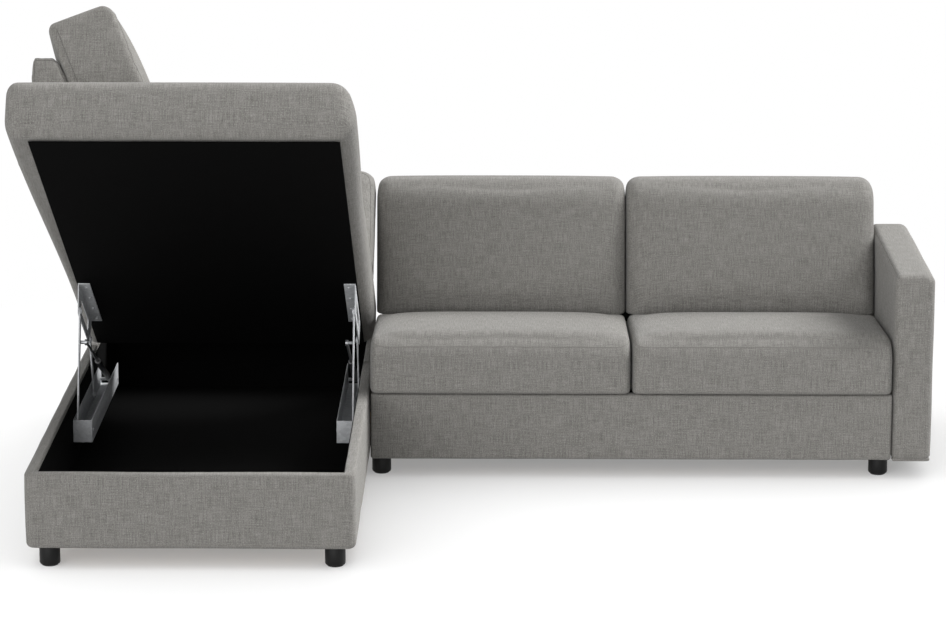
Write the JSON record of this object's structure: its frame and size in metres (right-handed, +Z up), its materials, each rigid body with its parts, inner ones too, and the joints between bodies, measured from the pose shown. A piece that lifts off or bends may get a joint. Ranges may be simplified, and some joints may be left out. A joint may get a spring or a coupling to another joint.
{
  "type": "sofa bed with chaise",
  "caption": "Corner sofa bed in woven grey fabric: a chaise whose whole upholstered top lifts off a storage box on gas springs, beside a sofa whose seat pulls out as its back lies down.",
  "frame": {"origin": "on the floor, at the middle of the footprint's bounding box", "axes": "+X to the sitter's left hand side as seen from the front: from the chaise towards the arm, -Y out of the front, +Z up"},
  "size_m": [2.483, 1.68, 1.41],
  "materials": {
    "grey_fabric": "coarse woven upholstery, melange grey",
    "cushion_fabric": "coarse woven upholstery, melange grey",
    "black_lining": "thin black lining cloth",
    "birch": "plain birch",
    "black_plastic": "moulded, satin",
    "grey_steel": "zinc plated",
    "black_paint": "black painted tube"
  },
  "bodies": {
    "base": {"chaise_front_wall": "grey_fabric", "chaise_left_wall": "grey_fabric", "chaise_right_wall": "grey_fabric", "chaise_rear_wall": "grey_fabric", "sofa_rear_panel": "grey_fabric", "sofa_arm": "grey_fabric", "storage_floor": "birch", "storage_liner": "black_lining", "sofa_left_side": "birch", "sofa_right_side": "birch", "sofa_stretcher": "birch", "lift_housing_left": "grey_steel", "lift_housing_right": "grey_steel", "runner_outer_left": "grey_steel", "runner_outer_right": "grey_steel", "module_tie_plate": "grey_steel", "chaise_leg_front_left": "black_plastic", "chaise_leg_front_right": "black_plastic", "chaise_leg_rear_left": "black_plastic", "chaise_leg_rear_right": "black_plastic", "sofa_leg_front_left": "black_plastic", "sofa_leg_front_right": "black_plastic", "sofa_leg_rear_left": "black_plastic", "sofa_leg_rear_right": "black_plastic"},
    "front_links": {"front_link_left": "grey_steel", "front_link_right": "grey_steel"},
    "lid": {"chaise_seat_pad": "cushion_fabric", "lid_lining": "black_lining", "side_backrest": "grey_fabric", "side_cushion": "cushion_fabric", "rear_backrest": "grey_fabric", "rear_cushion": "cushion_fabric", "lift_bracket_left": "grey_steel", "lift_bracket_right": "grey_steel"},
    "rear_links": {"rear_link_left": "grey_steel", "rear_link_right": "grey_steel"},
    "gas_tubes": {"gas_tube_left": "black_paint", "gas_tube_right": "black_paint"},
    "gas_rods": {"gas_rod_left": "grey_steel", "gas_rod_right": "grey_steel"},
    "seat_carriage": {"front_panel": "grey_fabric", "runner_inner_left": "grey_steel", "runner_inner_right": "grey_steel", "deck_rail_left": "birch", "deck_rail_right": "birch", "deck_rear_rail": "birch", "deck_slat_1": "birch", "deck_slat_2": "birch", "deck_slat_3": "birch", "deck_slat_4": "birch", "seat_cushion_left": "cushion_fabric", "seat_cushion_right": "cushion_fabric", "hinge_strap_left": "grey_steel", "hinge_strap_right": "grey_steel"},
    "back_rest": {"hinge_leaf_left": "grey_steel", "hinge_leaf_right": "grey_steel", "back_ledge": "birch", "back_frame": "grey_fabric", "back_cushion_left": "cushion_fabric", "back_cushion_right": "cushion_fabric"}
  },
  "joints": [
    {"name": "lid_tilt", "type": "hinge", "parent": "front_links", "child": "lid", "pos_m": [-0.8065, 0.09281, 0.4818], "axis": [1, 0, 0], "range_deg": [0, 97.54]},
    {"name": "front_link_swing", "type": "hinge", "parent": "base", "child": "front_links", "pos_m": [-0.8065, -0.03006, 0.165], "axis": [1, 0, 0], "range_deg": [-65.09, 0.5]},
    {"name": "rear_link_swing", "type": "hinge", "parent": "base", "child": "rear_links", "pos_m": [-0.8065, 0.36845, 0.165], "axis": [1, 0, 0], "range_deg": [-102.78, 0.5]},
    {"name": "gas_tube_swing", "type": "hinge", "parent": "base", "child": "gas_tubes", "pos_m": [-0.8065, 0.58894, 0.155], "axis": [1, 0, 0], "range_deg": [-0.5, 20.74]},
    {"name": "gas_rod_slide", "type": "slide", "parent": "gas_tubes", "child": "gas_rods", "axis": [0, -0.9085, 0.4178], "range_m": [-0.2115, 0.0005]},
    {"name": "seat_slide", "type": "slide", "parent": "base", "child": "seat_carriage", "axis": [0, -1, 0], "range_m": [0, 0.25]},
    {"name": "back_recline", "type": "hinge", "parent": "seat_carriage", "child": "back_rest", "pos_m": [0.37935, 0.55, 0.3525], "axis": [-1, 0, 0], "range_deg": [-0.3, 74.1]}
  ],
  "couplings": [
    {"joint": "front_link_swing", "follows": "lid_tilt", "ratio": -0.66679},
    {"joint": "rear_link_swing", "follows": "lid_tilt", "ratio": -1.0532},
    {"joint": "gas_tube_swing", "follows": "lid_tilt", "ratio": 0.21129},
    {"joint": "gas_rod_slide", "follows": "lid_tilt", "m_per_rad": -0.12414},
    {"joint": "back_recline", "follows": "seat_slide", "rad_per_m": 5.1662}
  ]
}
